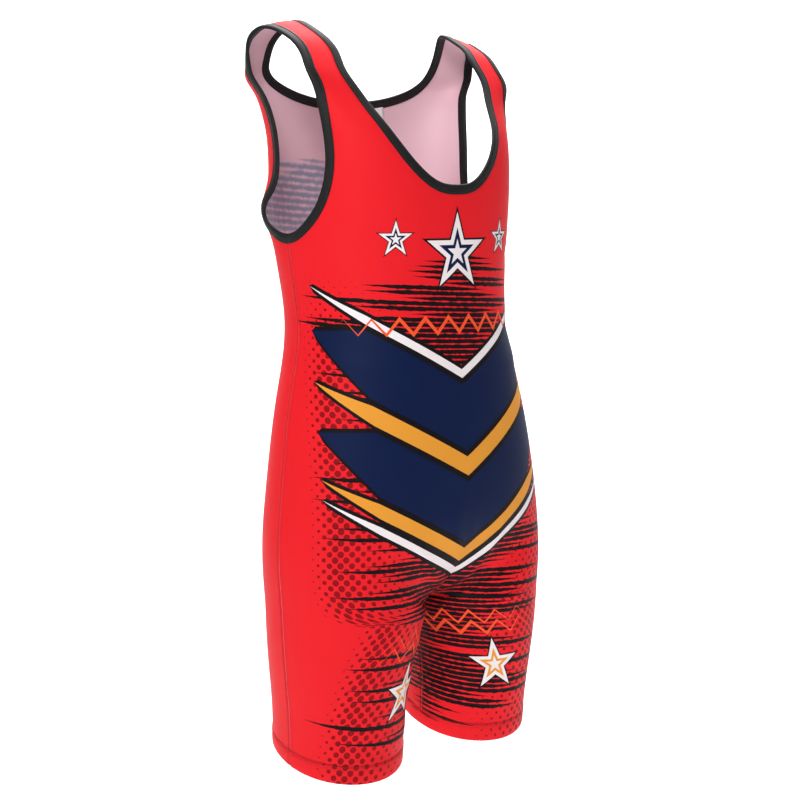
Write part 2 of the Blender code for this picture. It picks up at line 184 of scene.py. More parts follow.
# Creases of the stretched knit: soft troughs and ridges that run out from the crotch, gather a
# little above the hems and at the waist, and pull at the armholes. They are as uneven as real ones.
# side, sideways place (metres from the centre, wearer's left +), v, slant in degrees, half length,
# half width, height
CREASES = [
    (-1, .030, -.640, 52, .050, .0085, .0028), (-1, -.034, -.634, -47, .058, .0095, .0026),
    (-1, .055, -.668, 24, .046, .0075, -.0022), (-1, -.058, -.672, -30, .040, .0080, -.0024),
    (-1, .016, -.600, 74, .036, .0100, -.0016), (-1, -.012, -.590, -80, .044, .0090, .0014),
    (-1, .085, -.700, 12, .050, .0080, .0018), (-1, -.094, -.712, -9, .044, .0085, .0016),
    (-1, .090, -.812, 4, .056, .0070, .0014), (-1, .060, -.793, -8, .040, .0075, -.0012),
    (-1, -.110, -.815, -5, .050, .0075, .0013), (-1, -.070, -.790, 9, .036, .0070, -.0010),
    (-1, .150, -.352, 14, .060, .0110, -.0015), (-1, -.158, -.340, -17, .052, .0100, -.0014),
    (-1, .140, -.392, 20, .048, .0100, .0012), (-1, -.150, -.386, -12, .058, .0110, .0013),
    (-1, .150, -.262, 38, .040, .0090, -.0013), (-1, -.146, -.268, -43, .044, .0095, -.0014),
    (1, .040, -.648, 40, .060, .0095, .0028), (1, -.046, -.655, -36, .054, .0090, .0030),
    (1, .070, -.690, 18, .060, .0085, -.0024), (1, -.066, -.684, -22, .052, .0080, -.0022),
    (1, .020, -.380, 5, .090, .0110, -.0022), (1, -.030, -.352, -6, .080, .0100, .0018),
    (1, .050, -.330, 10, .070, .0105, -.0014), (1, -.052, -.408, -4, .084, .0110, .0015),
    (1, .130, -.300, 28, .050, .0095, -.0014), (1, -.136, -.292, -32, .046, .0100, -.0015),
    (1, .100, -.810, -6, .050, .0075, .0013), (1, -.086, -.800, 7, .052, .0070, .0012),
    (1, .050, -.115, -18, .040, .0090, .0010), (1, -.060, -.122, 15, .044, .0095, .0009),
]
SEAM_BULK = 0.00045     # the seam allowances lift the cloth a little on both sides of a seam
SEAM_SPREAD = 0.0034    # how far from the seam they lift it most
SEAM_WIDTH = 0.0022
SEAM_DIP = 0.0011       # the join itself lies lower
BEND_SHARE = 0.9        # how much a crease bends along its length
QUARTER = 0.26          # about how far it is round the cloth from centre line to side seam


def relief(w, v, side):
    """Height of the creases and seam bulk; w is u, below 0 on the wearer's right."""
    x = w * QUARTER
    height = np.zeros_like(x)
    for s, cx, cv, slant, length, width, rise in CREASES:
        cosine, sine = math.cos(math.radians(slant)), math.sin(math.radians(slant))
        along = (x - cx) * cosine + (v - cv) * sine
        over = (v - cv) * cosine - (x - cx) * sine
        bend = over - BEND_SHARE * along ** 2 / (length * 4)
        part = rise * np.exp(-(along / length) ** 2 - (bend / width) ** 2)
        height += np.where(side == s, part, 0)
    # creases die out before the seams and at the centre of the leg openings
    height *= np.clip((1 - np.abs(w)) / 0.09, 0, 1) ** 0.8
    height *= np.clip((v - HEM - 0.020) / 0.016, 0, 1)
    from_seam = (1 - np.abs(w)) * QUARTER
    height += SEAM_BULK * np.exp(-((from_seam - SEAM_SPREAD) / SEAM_WIDTH) ** 2)
    height -= SEAM_BULK * np.exp(-(from_seam / SEAM_DIP) ** 2)
    return height


def cloth(w, v, side, height=0.0):
    """Places on the finished cloth, lifted off its outer face by height."""
    w, v = np.asarray(w, float), np.asarray(v, float)
    side = np.broadcast_to(np.asarray(side, float), w.shape)
    u = np.abs(w)
    off = (np.asarray(height) + relief(w, v, side))[..., None]
    point = skin(u, v, side) + cloth_normals(u, v, side) * off
    point[..., 0] *= np.where(np.signbit(w), -1, 1)
    return point


def round_from_centre(w, v, side):
    """How far round the cloth a place lies from the centre line, wearer's left +."""
    share = np.linspace(0, 1, 33)
    run = skin(np.abs(w)[:, None] * share, v[:, None], np.broadcast_to(side, w.shape)[:, None])
    return np.sign(w) * np.linalg.norm(np.diff(run, axis=1), axis=2).sum(1)


# The openings: lines that the bound edges follow, as u and v, from the centre front or the side
# seam up to the shoulder. The knit is cut 1.5 mm inside the fold of the elastic that grips it.
BIND_WIDTH = 0.0105
BIND_GRIP = 0.0015
PACE = 0.0005           # step of the walk from the fold into the cloth
REACH = 0.027           # how far the walk goes, past the label's lower edge
NEAR = 1e-6
U_RUN = 0.25            # about how many metres u covers, which spaces a table's rows
NECK_FRONT = [(0, -.186), (.06, -.185), (.115, -.180), (.17, -.170), (.21, -.160), (.268, -.140),
              (.305, -.119), (.318, -.098), (.312, -.074), (.287, -.048), (.278, -.020),
              (.285, .007), (.298, .045), (.305, TOP)]
NECK_BACK = [(0, -.079), (.07, -.078), (.14, -.075), (.22, -.068), (.297, -.054), (.338, -.036),
             (.354, -.012), (.348, .015), (.332, .045), (.314, .077), (.305, TOP)]
ARM_FRONT = [(1, -.241), (.94, -.238), (.88, -.230), (.82, -.218), (.77, -.202), (.735, -.182),
             (.715, -.155), (.700, -.120), (.660, -.095), (.590, -.069), (.515, -.042),
             (.487, -.008), (.495, .027), (.53, .062), (.58, TOP)]
ARM_BACK = [(1, -.241), (.94, -.240), (.87, -.234), (.82, -.223), (.835, -.209), (.88, -.192),
            (.90, -.165), (.895, -.135), (.87, -.102), (.83, -.072), (.79, -.045), (.765, -.020),
            (.74, 0), (.72, .020), (.695, .040), (.65, .060), (.61, .078), (.58, TOP)]


def fold_line(table, side, count, width_sign):
    """Equally spaced stations on a fold line and the 3-D direction into the cloth at each."""
    table = np.array(table, float)
    s = np.r_[0, np.cumsum(np.hypot(np.diff(table[:, 0]) * U_RUN, np.diff(table[:, 1])))]
    fu, fv = spline(s, table[:, 0]), spline(s, table[:, 1])
    fine = np.linspace(0, s[-1], 400)
    run = skin(fu(fine), fv(fine), side)
    run = np.r_[0, np.cumsum(np.linalg.norm(np.diff(run, axis=0), axis=1))]
    at = np.interp(np.linspace(0, run[-1], count), run, fine)
    u, v = fu(at), fv(at)
    ahead = skin(fu(at + 1e-3), fv(at + 1e-3), side) - skin(fu(at - 1e-3), fv(at - 1e-3), side)
    along_u, along_v, normal = slopes(u, v, np.full(count, side))
    into = np.cross(normal, ahead)
    into *= -np.sign(into[0, 2])
    into[0] = -along_v[0]
    into[-1] = width_sign * along_u[-1]
    return np.stack([u, v], -1), into / np.linalg.norm(into, axis=1, keepdims=True)


def walk(uv, into, side, far):
    """Places reached on the skin at every pace, walking from the fold into the cloth."""
    trail, q, way = [uv], uv.copy(), into.copy()
    for _ in range(int(round(far / PACE))):
        su, sv, _ = slopes(q[:, 0], q[:, 1], side)
        a, b, c = (su * su).sum(1), (su * sv).sum(1), (sv * sv).sum(1)
        p, r = (su * way).sum(1), (sv * way).sum(1)
        det = a * c - b * b
        move = np.stack([(c * p - b * r) / det, (a * r - b * p) / det], -1)
        way = su * move[:, :1] + sv * move[:, 1:]
        length = np.linalg.norm(way, axis=1, keepdims=True)
        way /= length
        q = q + move / length * PACE
        q[uv[:, 0] < NEAR, 0], q[uv[:, 0] > 1 - NEAR, 0] = 0, 1
        q[uv[:, 1] > TOP - NEAR, 1] = TOP
        q[:, 1] = np.minimum(q[:, 1], TOP)
        trail.append(q)
    return np.stack(trail)


def opening(front, back, counts, width_sign):
    """Loop over the front and back tables: walked trail and side of each station."""
    uv, into, side = [], [], []
    for table, s, count in ((front, -1, counts[0]), (back, 1, counts[1])):
        p, d = fold_line(table, s, count, width_sign)
        if s > 0:
            p, d = p[::-1][1:], d[::-1][1:]
            if width_sign < 0:
                p, d = p[:-1], d[:-1]
        uv.append(p)
        into.append(d)
        side.append(np.full(len(p), s))
    uv, into, side = np.concatenate(uv), np.concatenate(into), np.concatenate(side)
    return walk(uv, into, side, REACH), side


def row_at(trail, distance):
    """Places at one distance from the fold; a little less than nothing lies beyond it."""
    if distance < 0:
        return trail[0] + (trail[0] - trail[1]) * -distance / PACE
    low = min(int(distance / PACE), len(trail) - 2)
    return trail[low] + (trail[low + 1] - trail[low]) * (distance / PACE - low)


neck, neck_side = opening(NECK_FRONT, NECK_BACK, (109, 69), 1)
arm, arm_side = opening(ARM_FRONT, ARM_BACK, (97, 105), -1)
neck_ridge, arm_ridge = [np.flatnonzero(s < 0)[-1] for s in (neck_side, arm_side)]
# each panel takes its stations from the centre line or side seam up to the shoulder
neck_front, neck_back = neck[:, :neck_ridge + 1], neck[:, :neck_ridge - 1:-1]
arm_front = arm[:, :arm_ridge + 1]
arm_back = np.concatenate([arm[:, :1], arm[:, :arm_ridge - 1:-1]], 1)


# Front panel: smooth polyester and elastane warp knit, dye-printed before sewing, so the ink lies
# in the yarn with no edge to feel. It is one piece from the shoulders to both front legs, pale on
# the inside, where the print shows through a little.
SHEET = 0.0012          # the knit as it shows, turned at its cut edges
GRID = 0.0052           # mesh size
WALE = 0.0011           # rib of the knit, drawn coarser than the real 0.5 mm so that it shows
SEAM_GAP = 0.00015      # each panel stands back this far from a seam, so that no faces meet
SEAM_STRIP = 0.0095     # width beside the side seam where the mesh is closer
PRINT_LOW = -0.845      # the print fades out above the hem's edge
POINT_ANGLE = math.radians(72)
OUTLINE = 0.0047        # black edge round each chevron
CHEVRON_SLOPE = 0.55
CHEVRON_FULL, CHEVRON_END = 0.120, 0.185    # across: where a chevron narrows from, and its tip
ZIGZAG_PITCH = 0.016
DOT_PITCH = 0.009


def node(tree, kind, *inputs, out=0, **settings):
    """Adds a shader node with its settings and inputs and gives back one of its outputs."""
    made = tree.nodes.new("ShaderNode" + kind)
    for key, value in settings.items():
        setattr(made, key, value)
    for socket, value in zip(made.inputs, inputs):
        if isinstance(value, bpy.types.NodeSocket):
            tree.links.new(value, socket)
        elif value is not None:
            socket.default_value = value
    return made.outputs[out]


def calc(tree, operation, *inputs):
    """Adds a Math node and gives back its result."""
    return node(tree, "Math", *inputs, operation=operation)


def stripes(tree, place, pitch, warp, way):
    """Even stripes across one axis of a place in metres; warp makes them waver."""
    return node(tree, "TexWave", place, 1 / pitch / 2, warp, 1.0, out=1, wave_type="BANDS",
                bands_direction=way)


def linear(code):
    """Linear colour of an sRGB hex value such as E2202A."""
    parts = [int(code[i:i + 2], 16) / 255 for i in (0, 2, 4)]
    return tuple(c / 12.92 if c < 0.04045 else ((c + 0.055) / 1.055) ** 2.4 for c in parts) + (1.0,)


def new_material(name, **values):
    """Material with constant values on the Principled shader's own sockets."""
    made = bpy.data.materials.new(name)
    made.use_nodes = True
    shader = made.node_tree.nodes["Principled BSDF"]
    for socket, value in values.items():
        shader.inputs[socket.replace("_", " ")].default_value = value
    return made, made.node_tree, shader


def star_reach(tree, x, y):
    """Five-pointed star's size at a place: below R inside a star whose points reach R."""
    far = calc(tree, "ADD", calc(tree, "MULTIPLY", x, x), calc(tree, "MULTIPLY", y, y))
    far = calc(tree, "POWER", far, 0.5)
    turn = calc(tree, "ARCTAN2", x, y)
    turn = calc(tree, "PINGPONG", turn, math.pi / 5)
    turn = calc(tree, "SUBTRACT", turn, POINT_ANGLE)
    turn = calc(tree, "COSINE", turn)
    reach = calc(tree, "MULTIPLY", far, turn)
    return calc(tree, "DIVIDE", reach, math.cos(POINT_ANGLE))


def paint(tree, under, over, mask):
    """Lays the ink over what is under it where mask is 1."""
    return node(tree, "Mix", mask, None, None, None, None, None, under, over,
                data_type="RGBA", out=2)


INKS = {name: linear(code) for name, code in (
    ("red", "E61E27"), ("deep red", "8E0A14"), ("black", "140F12"), ("navy", "0B1B42"),
    ("amber", "E59A36"), ("white", "EFE6E8"), ("orange", "F0562C"))}


def dark_lines(tree, s, v, top, reach, soft, pitch=0.0060, thick=0.42):
    """Hand-drawn looking hatching: uneven tapering lines that slant a little, 1 where inked."""
    slant = calc(tree, "MULTIPLY", s, 0.06)
    row = calc(tree, "ADD", v, slant)
    row = calc(tree, "DIVIDE", row, pitch)
    line = calc(tree, "FLOOR", row)
    # each line's number draws its own middle and half length, which shorten above and below
    chance = node(tree, "TexWhiteNoise", None, line, out=1, noise_dimensions="1D")
    first = node(tree, "SeparateColor", chance, out=0)
    second = node(tree, "SeparateColor", chance, out=1)
    middle = node(tree, "MapRange", first, 0, 1, -0.05, 0.05)
    half = node(tree, "MapRange", second, 0, 1, reach * 0.45, reach)
    for fade in (node(tree, "MapRange", v, top, top - 0.07, 0.0, 1.0),
                 node(tree, "MapRange", v, PRINT_LOW, PRINT_LOW + 0.04, 0.0, 1.0)):
        half = calc(tree, "MULTIPLY", half, fade)
    gap = calc(tree, "SUBTRACT", s, middle)
    gap = calc(tree, "ABSOLUTE", gap)
    taper = calc(tree, "SUBTRACT", half, gap)
    taper = node(tree, "MapRange", taper, 0.0, 0.050, 0.0, thick)
    wobble = node(tree, "TexNoise", node(tree, "CombineXYZ", s, v, 0.0), None, 140.0, 2.0, out=0)
    wobble = node(tree, "MapRange", wobble, 0.3, 0.7, 0.72, 1.18)
    taper = calc(tree, "MULTIPLY", taper, wobble)
    height = calc(tree, "FRACT", row)
    height = calc(tree, "SUBTRACT", height, 0.5)
    height = calc(tree, "ABSOLUTE", height)
    inked = calc(tree, "SUBTRACT", taper, height)
    return node(tree, "MapRange", inked, 0.0, soft, 0.0, 1.0)


def dots(tree, s, v, size):
    """Round halftone dots on a slanted grid; size is their radius as a share of its pitch."""
    pitch = DOT_PITCH * math.sqrt(2)
    parts = []
    for diagonal in ("ADD", "SUBTRACT"):
        value = calc(tree, diagonal, s, v)
        value = calc(tree, "DIVIDE", value, pitch)
        value = calc(tree, "FRACT", value)
        value = calc(tree, "SUBTRACT", value, 0.5)
        parts.append(calc(tree, "MULTIPLY", value, value))
    far = calc(tree, "POWER", calc(tree, "ADD", *parts), 0.5)
    return calc(tree, "LESS_THAN", far, size)


def printed_design(tree, bands, stars, zigzags, lines_top, lines_reach, squeeze=1.0):
    """Ordinary hatching, halftone dots, chevrons, zigzags and stars in the inks of the garment."""
    place = node(tree, "UVMap", uv_map="cut")
    s, v = [node(tree, "SeparateXYZ", place, out=k) for k in (0, 1)]
    across = calc(tree, "ABSOLUTE", s)
    across = calc(tree, "MULTIPLY", across, squeeze)
    colour = node(tree, "RGB")
    colour.default_value = INKS["red"]
    # dots swell towards the flanks, and fade above the chest and before the side seam
    size = node(tree, "MapRange", across, 0.050, 0.170, 0.0, 0.42)
    for fade in (node(tree, "MapRange", v, -0.27, -0.40, 0.0, 1.0),
                 node(tree, "MapRange", across, 0.172, 0.205, 1.0, 0.0)):
        size = calc(tree, "MULTIPLY", size, fade)
    colour = paint(tree, colour, INKS["deep red"], dots(tree, s, v, size))
    colour = paint(tree, colour, INKS["black"],
                   dark_lines(tree, s, v, lines_top, lines_reach, 0.02))
    # chevrons narrow to a point at the flanks
    slope = calc(tree, "MULTIPLY", across, CHEVRON_SLOPE)
    level = calc(tree, "SUBTRACT", v, slope)
    narrow = node(tree, "MapRange", across, CHEVRON_FULL, CHEVRON_END, 1.0, 0.0)
    for outline in (OUTLINE, 0.0):
        for middle, half, ink in bands:
            off = calc(tree, "ABSOLUTE", calc(tree, "SUBTRACT", level, middle))
            edge = calc(tree, "MULTIPLY", narrow, half)
            if outline:
                tip = node(tree, "MapRange", across, CHEVRON_END - 0.005, CHEVRON_END + 0.001,
                           1.0, 0.0)
                edge = calc(tree, "ADD", edge, outline)
                edge = calc(tree, "MULTIPLY", edge, tip)
            inside = calc(tree, "LESS_THAN", off, edge)
            colour = paint(tree, colour, INKS["black" if outline else ink], inside)
    for middle, half, swing, reach in zigzags:
        wave = calc(tree, "PINGPONG", s, ZIGZAG_PITCH)
        wave = calc(tree, "MULTIPLY", wave, swing)
        off = calc(tree, "SUBTRACT", calc(tree, "SUBTRACT", v, wave), middle)
        off = calc(tree, "ABSOLUTE", off)
        edge = node(tree, "MapRange", across, reach * 0.5, reach, half, 0.0)
        colour = paint(tree, colour, INKS["orange"], calc(tree, "LESS_THAN", off, edge))
    for out, up, radius, ink in stars:
        x = calc(tree, "SUBTRACT", across, out) if out else s
        reach = star_reach(tree, x, calc(tree, "SUBTRACT", v, up))
        for share, layer in ((1.16, "black"), (1.0, "white"), (0.62, ink), (0.34, "white")):
            colour = paint(tree, colour, INKS[layer],
                           calc(tree, "LESS_THAN", reach, radius * share))
    return colour


def knit_bump(tree, shader, strength):
    """Fine upright wales crossed by courses, in the surface's own metres."""
    place = node(tree, "UVMap", uv_map="cut")
    wales, courses = [stripes(tree, place, WALE, *way) for way in ((0.6, "X"), (0.4, "Y"))]
    both = calc(tree, "MULTIPLY", wales, courses)
    tree.links.new(node(tree, "Bump", strength, 0.0003, both), shader.inputs["Normal"])


def printed_knit(name, **design):
    """Dye-printed knit: nearly matt, so that its ink keeps its depth, with fine upright ribs."""
    made, tree, shader = new_material(name, Roughness=0.60, Specular_IOR_Level=0.10)
    tree.links.new(printed_design(tree, **design), shader.inputs["Base Color"])
    knit_bump(tree, shader, 0.10)
    return made


def pale_inside(name, top, reach):
    """Unprinted face of the knit: pale pink, with the dark inks showing through as blurs."""
    made, tree, shader = new_material(name, Roughness=0.62, Sheen_Weight=0.25, Sheen_Roughness=0.5)
    place = node(tree, "UVMap", uv_map="cut")
    s, v = [node(tree, "SeparateXYZ", place, out=k) for k in (0, 1)]
    ghost = dark_lines(tree, s, v, top, reach, soft=0.42, pitch=0.0085, thick=0.60)
    ghost = calc(tree, "MULTIPLY", ghost, 0.8)
    colour = paint(tree, linear("E6BDC8"), linear("66809A"), ghost)
    tree.links.new(colour, shader.inputs["Base Color"])
    knit_bump(tree, shader, 0.16)
    return made


def inside_outline(points, polygon):
    """Which points lie inside the polygon, and how far each is from its outline."""
    a, b = polygon, np.roll(polygon, -1, 0)
    within, gap = np.zeros(len(points), bool), np.zeros(len(points))
    for start in range(0, len(points), 2000):
        here = points[start:start + 2000]
        px, py = here[:, None, 0], here[:, None, 1]
        crosses = (a[:, 1] > py) != (b[:, 1] > py)
        rise = np.where(b[:, 1] == a[:, 1], 1, b[:, 1] - a[:, 1])
        crosses &= px < (b[:, 0] - a[:, 0]) * (py - a[:, 1]) / rise + a[:, 0]
        t = np.clip(((here[:, None] - a) * (b - a)).sum(-1) / ((b - a) ** 2).sum(-1), 0, 1)
        away = np.linalg.norm(here[:, None] - a - t[..., None] * (b - a), axis=-1).min(1)
        within[start:start + 2000], gap[start:start + 2000] = crosses.sum(1) % 2 == 1, away
    return within, gap


def run_down(start, stop, step):
    """Heights from start to stop, both ends included."""
    return np.linspace(start, stop, max(2, int(round(abs(stop - start) / step)) + 1))


def finished(name, verts, faces, material_of, materials, uvs=None):
    """Object at the origin from mesh data; uvs holds one place in metres for each vertex."""
    mesh = bpy.data.meshes.new(name)
    mesh.from_pydata(np.asarray(verts).tolist(), [], faces)
    for material in materials:
        mesh.materials.append(material)
    if material_of is not None:
        mesh.polygons.foreach_set("material_index", material_of)
    if uvs is not None:
        corners = [loop.vertex_index for loop in mesh.loops]
        mesh.uv_layers.new(name="cut").data.foreach_set("uv", np.asarray(uvs)[corners].ravel())
    mesh.polygons.foreach_set("use_smooth", [True] * len(mesh.polygons))
    mesh.update()
    made = bpy.data.objects.new(name, mesh)
    bpy.context.scene.collection.objects.link(made)
    return made


def panel(name, side, neck_part, arm_part, materials):
    """Front or back in one piece: a fine sheet with a face, a pale inside and turned edges."""
    scale = np.array([QUARTER, 1.0])
    low = HEM + HEM_DEPTH + 0.0002      # just above the hem, which is a piece of its own
    # rows lie closer towards the crotch, where the cloth turns sharply
    crotch_rows = CROTCH + 0.036 * np.linspace(0, 1, 13) ** 2
    neck_cut, arm_cut = row_at(neck_part, BIND_GRIP), row_at(arm_part, BIND_GRIP)
    shoulder = np.linspace(neck_cut[-1, 0], arm_cut[-1, 0], 9)[1:-1]
    centre = np.r_[crotch_rows, run_down(crotch_rows[-1], neck_cut[0, 1], GRID)[1:-1]]
    side_v = run_down(arm_cut[0, 1], low, GRID)[1:-1]
    hem_u = np.linspace(1, 0, 53)
    inseam = run_down(low, CROTCH, GRID)[1:-1]
    outline = np.concatenate([
        np.stack([0 * centre, centre], -1), neck_cut, np.stack([shoulder, 0 * shoulder + TOP], -1),
        arm_cut[::-1], np.stack([1 + 0 * side_v, side_v], -1),
        np.stack([hem_u, 0 * hem_u + low], -1), np.stack([0 * inseam, inseam], -1)])
    heights = np.concatenate([run_down(low, CROTCH, GRID)[1:], crotch_rows[1:],
                              run_down(crotch_rows[-1], TOP, GRID)[1:-1]])
    across = int(QUARTER / GRID)
    field = [((i + 0.5 * (k % 2)) / across, v)
             for k, v in enumerate(heights) for i in range(across)]
    # closer columns of points beside the side seam carry its bulk
    beside = [(1 - d / QUARTER, v) for v in run_down(arm_cut[0, 1], low, 0.004)[1:-1]
              for d in (0.0011, 0.0022, 0.0034, 0.0048, 0.0068)]
    field = np.array([p for p in field if p[0] < 1 - SEAM_STRIP / QUARTER] + beside)
    within, gap = inside_outline(field * scale, outline * scale)
    # points keep off the outline, though less so in the closer strip
    margin = np.where(field[:, 0] > 1 - SEAM_STRIP / QUARTER, 0.0008, 0.0026)
    field = field[within & (gap > margin)]
    points = np.concatenate([outline, field]) * scale
    made = delaunay_2d_cdt([Vector(p) for p in points], [], [list(range(len(outline)))], 1, 1e-6)
    uv = np.array([tuple(p) for p in made[0]]) / scale
    flat = [list(f) for f in made[2]]
    n = len(uv)
    verts, coords = [], []
    at_centre = uv[:, 0] < U_NEAR
    seam = (uv[:, 0] > 1 - U_NEAR) | (uv[:, 1] > TOP - V_NEAR)
    seam |= at_centre & (uv[:, 1] < CROTCH + V_NEAR)
    on_line = at_centre & (uv[:, 1] > CROTCH - V_NEAR)
    for sign in (1, -1):
        w = np.where(uv[:, 0] < NEAR, 0.0, uv[:, 0]) * sign
        for height in (0.0, -SHEET):
            ring = cloth(w, uv[:, 1], side, height)
            ring[seam, 1] += side * SEAM_GAP
            verts.append(ring)
            coords.append(np.stack([round_from_centre(w, uv[:, 1], side), uv[:, 1]], -1))
    for ring in verts:
        ring[on_line, 0] = 0
    # edges that only one face has are the rim, apart from those on the centre line
    edges = {(a, b): None for f in flat for a, b in zip(f, f[1:] + f[:1])}
    rim = [(a, b) for a, b in edges if (b, a) not in edges and not (on_line[a] and on_line[b])]
    faces, slots = [], []
    for half, flip in ((0, side > 0), (2, side < 0)):
        face, inner = half * n, (half + 1) * n
        outer_faces = [[i + face for i in (f[::-1] if flip else f)] for f in flat]
        inner_faces = [[i + inner for i in (f if flip else f[::-1])] for f in flat]
        edge = [[b + face, a + face, a + inner, b + inner] for a, b in rim]
        edge = [q[::-1] if flip else q for q in edge]
        faces += outer_faces + inner_faces + edge
        slots += [0] * len(outer_faces) + [1] * (len(inner_faces) + len(edge))
    # both halves share the points on the centre line
    same = np.arange(4 * n)
    line = np.flatnonzero(on_line)
    same[2 * n + line], same[3 * n + line] = line, n + line
    faces = [[int(same[i]) for i in f] for f in faces]
    used = np.unique(np.concatenate([np.array(f) for f in faces]))
    lookup = {old: new for new, old in enumerate(used.tolist())}
    faces = [[lookup[i] for i in f] for f in faces]
    return finished(name, np.concatenate(verts)[used], faces, slots, materials,
                    np.concatenate(coords)[used])


# bands are middle, half width and ink; stars place across, height, radius and ink; zigzags middle,
# half thickness, swing and reach from the centre
front_knit = printed_knit(
    "printed_warp_knit_front",
    bands=[(-0.400, 0.0050, "white"), (-0.450, 0.038, "navy"), (-0.506, 0.0110, "amber"),
           (-0.560, 0.036, "navy"), (-0.612, 0.0085, "amber"), (-0.634, 0.0045, "white")],
    stars=[(0, -0.262, 0.046, "navy"), (0.083, -0.246, 0.021, "navy"),
           (0.100, -0.762, 0.033, "amber")],
    zigzags=[(-0.352, 0.0030, 1.1, 0.150), (-0.722, 0.0026, 1.0, 0.165),
             (-0.708, 0.0018, 1.0, 0.165)],
    lines_top=-0.245, lines_reach=0.185)
front = panel("front_panel", -1, neck_front, arm_front,
              [front_knit, pale_inside("inside_of_front_knit", -0.245, 0.185)])
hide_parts("front")
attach(front, "root")

# Back panel: the same knit, cut higher at the neck and much further in at the armholes. The photo
# shows only its flank and its inside, where blurred stripes come through, so it is printed as well.
back_knit = printed_knit(
    "printed_warp_knit_back",
    bands=[(-0.330, 0.0045, "white"), (-0.372, 0.030, "navy"), (-0.417, 0.0090, "amber"),
           (-0.462, 0.030, "navy")],
    stars=[(0, -0.215, 0.034, "navy")],
    zigzags=[(-0.540, 0.0028, 1.1, 0.140)],
    lines_top=-0.150, lines_reach=0.100, squeeze=1.5)
back = panel("back_panel", 1, neck_back, arm_back,
             [back_knit, pale_inside("inside_of_back_knit", -0.135, 0.300)])
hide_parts("back")
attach(back, "root")


# Bindings: 22 mm black fold-over elastic, folded round the cut edge of the knit and coverstitched
# through, with fine ribs along its length. It is a little fuller at the fold than at its edges.
INNER_GAP = 0.0014      # inside leg of the fold lies against the knit's inner face
RIB = 0.0009            # ribs along the strip
PICK = 0.0013           # finer picks across it
# distance into the cloth from the fold, height off the cloth
FOLD_OUTSIDE = [(.0107, .0003), (.0106, .0008), (.0099, .0011), (.0088, .0010),
                (.0080, .0009), (.0070, .0012), (.0048, .0015), (.0026, .0016),
                (.0010, .0014), (.0001, .0010), (-.0005, .0004), (-.0008, -.0003)]


def strip_faces(count, width, flip):
    """Faces of a strip that closes on itself, from count rings of width points each."""
    faces = []
    for i in range(count):
        j = (i + 1) % count
        for k in range(width):
            m = (k + 1) % width
            quad = [i * width + k, j * width + k, j * width + m, i * width + m]
            faces.append(quad[::-1] if flip else quad)
    return faces


def swept(name, trail, side, profile, materials, mirror=False, whole_neck=False):
    """Folded strip along the stations of an opening, with its own flat places in metres."""
    places = [row_at(trail, d) for d, _ in profile]
    sign = -1 if mirror else 1
    rings = np.stack([cloth(q[:, 0] * sign, q[:, 1], side, h)
                      for q, (_, h) in zip(places, profile)], 1)
    if whole_neck:
        rings[0, :, 0] = rings[-1, :, 0] = 0
        other = np.stack([cloth(-q[:, 0], q[:, 1], side, h)
                          for q, (_, h) in zip(places, profile)], 1)
        rings = np.concatenate([rings, other[1:-1][::-1]])
    count, width = rings.shape[:2]
    loop = np.concatenate([rings, rings[:1]])
    along = np.r_[0, np.cumsum(np.linalg.norm(np.diff(loop, axis=0), axis=2).mean(1))]
    steps = np.array([math.dist(profile[k], profile[(k + 1) % width]) for k in range(width)])
    over = np.r_[0, np.cumsum(steps)]
    corners = []
    for i in range(count):
        for k in range(width):
            spot = [(along[i], over[k]), (along[i + 1], over[k]), (along[i + 1], over[k + 1]),
                    (along[i], over[k + 1])]
            corners += spot[::-1] if mirror else spot
    faces = strip_faces(count, width, mirror)
    made = finished(name, rings.reshape(-1, 3), faces, None, materials)
    made.data.uv_layers.new(name="strip").data.foreach_set("uv", np.array(corners).ravel())
    return made


elastic, tree, shader = new_material(
    "black_fold_over_elastic", Base_Color=linear("0F0E10"), Roughness=0.64, Sheen_Weight=0.05,
    Sheen_Roughness=0.45, Specular_IOR_Level=0.32)
place = node(tree, "UVMap", uv_map="strip")
ribs, picks = [stripes(tree, place, *way) for way in ((RIB, 0.3, "Y"), (PICK, 0.5, "X"))]
picks = calc(tree, "MULTIPLY", picks, 0.45)
weave = calc(tree, "ADD", picks, ribs)
tree.links.new(node(tree, "Bump", 0.60, 0.0004, weave), shader.inputs["Normal"])

# the same leg again inside, and the hollow that grips the knit
fold_inside = [(d, -INNER_GAP - h + 0.0002) for d, h in FOLD_OUTSIDE[:-1]][::-1]
fold_hollow = [(.0105, -INNER_GAP), (.0060, -INNER_GAP), (.0014, -INNER_GAP), (.0009, -.0007),
               (.0014, .0002), (.0060, .0002), (.0105, .0002)]
fold_profile = FOLD_OUTSIDE + fold_inside + fold_hollow
neck_binding = swept("neck_fold_over_elastic", neck, neck_side, fold_profile, [elastic],
                     whole_neck=True)
arm_bindings = [
    swept("armhole_fold_over_elastic_" + name, arm, arm_side, fold_profile[::-1], [elastic],
          mirror=mirror) for name, mirror in (("left", False), ("right", True))]
for piece, cad, length in ((neck_binding, "neck_binding", 0.95),
                           (arm_bindings[0], "armhole_binding_left", 0.58),
                           (arm_bindings[1], "armhole_binding_right", 0.58)):
    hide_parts(cad)
    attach(piece, "root")

# Leg hems: the knit's own edge turned up 18 mm inside and coverstitched, so it is double and a
# little stiffer than the leg. The print runs on over it.

